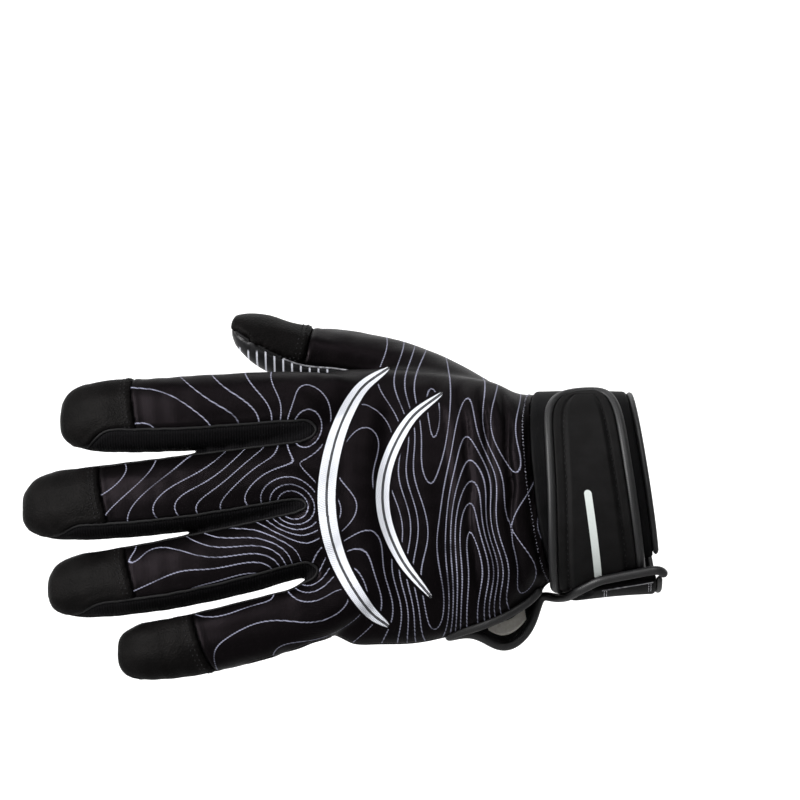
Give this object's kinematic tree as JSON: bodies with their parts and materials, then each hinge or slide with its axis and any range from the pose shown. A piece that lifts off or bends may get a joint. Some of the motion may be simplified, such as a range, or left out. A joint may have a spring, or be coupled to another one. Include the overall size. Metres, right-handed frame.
{
  "type": "football receiver glove",
  "caption": "Left-hand football receiver glove in its worn shape, black, with a printed knit back, tacky palm, capped fingertips and a closed wrist strap.",
  "frame": {"origin": "centre of the wrist opening", "axes": "+X along the forearm, away from the fingertips; +Z to the thumb's side; the back of the hand faces -Y"},
  "size_m": [0.2281, 0.0719, 0.1298],
  "materials": {
    "printed_knit": "matte knit, printed with pale lines and white bands",
    "grip": "tacky, satin",
    "side_knit": "matte ribbed knit",
    "cap_leather": "smooth, satin",
    "neoprene": "smooth, slightly satin",
    "binding": "rolled edge, satin",
    "label": "matte"
  },
  "bodies": {
    "root": {"index_cap": "cap_leather", "middle_cap": "cap_leather", "ring_cap": "cap_leather", "little_cap": "cap_leather", "thumb_cap": "cap_leather", "back_panel": "printed_knit", "palm_panel": "grip", "side_panel_index_middle": "side_knit", "side_panel_middle_ring": "side_knit", "side_panel_ring_little": "side_knit", "cuff_band": "neoprene", "cuff_edge": "binding", "wrist_strap": "neoprene", "strap_binding": "binding", "slit_binding": "binding", "size_label": "label"}
  },
  "joints": []
}
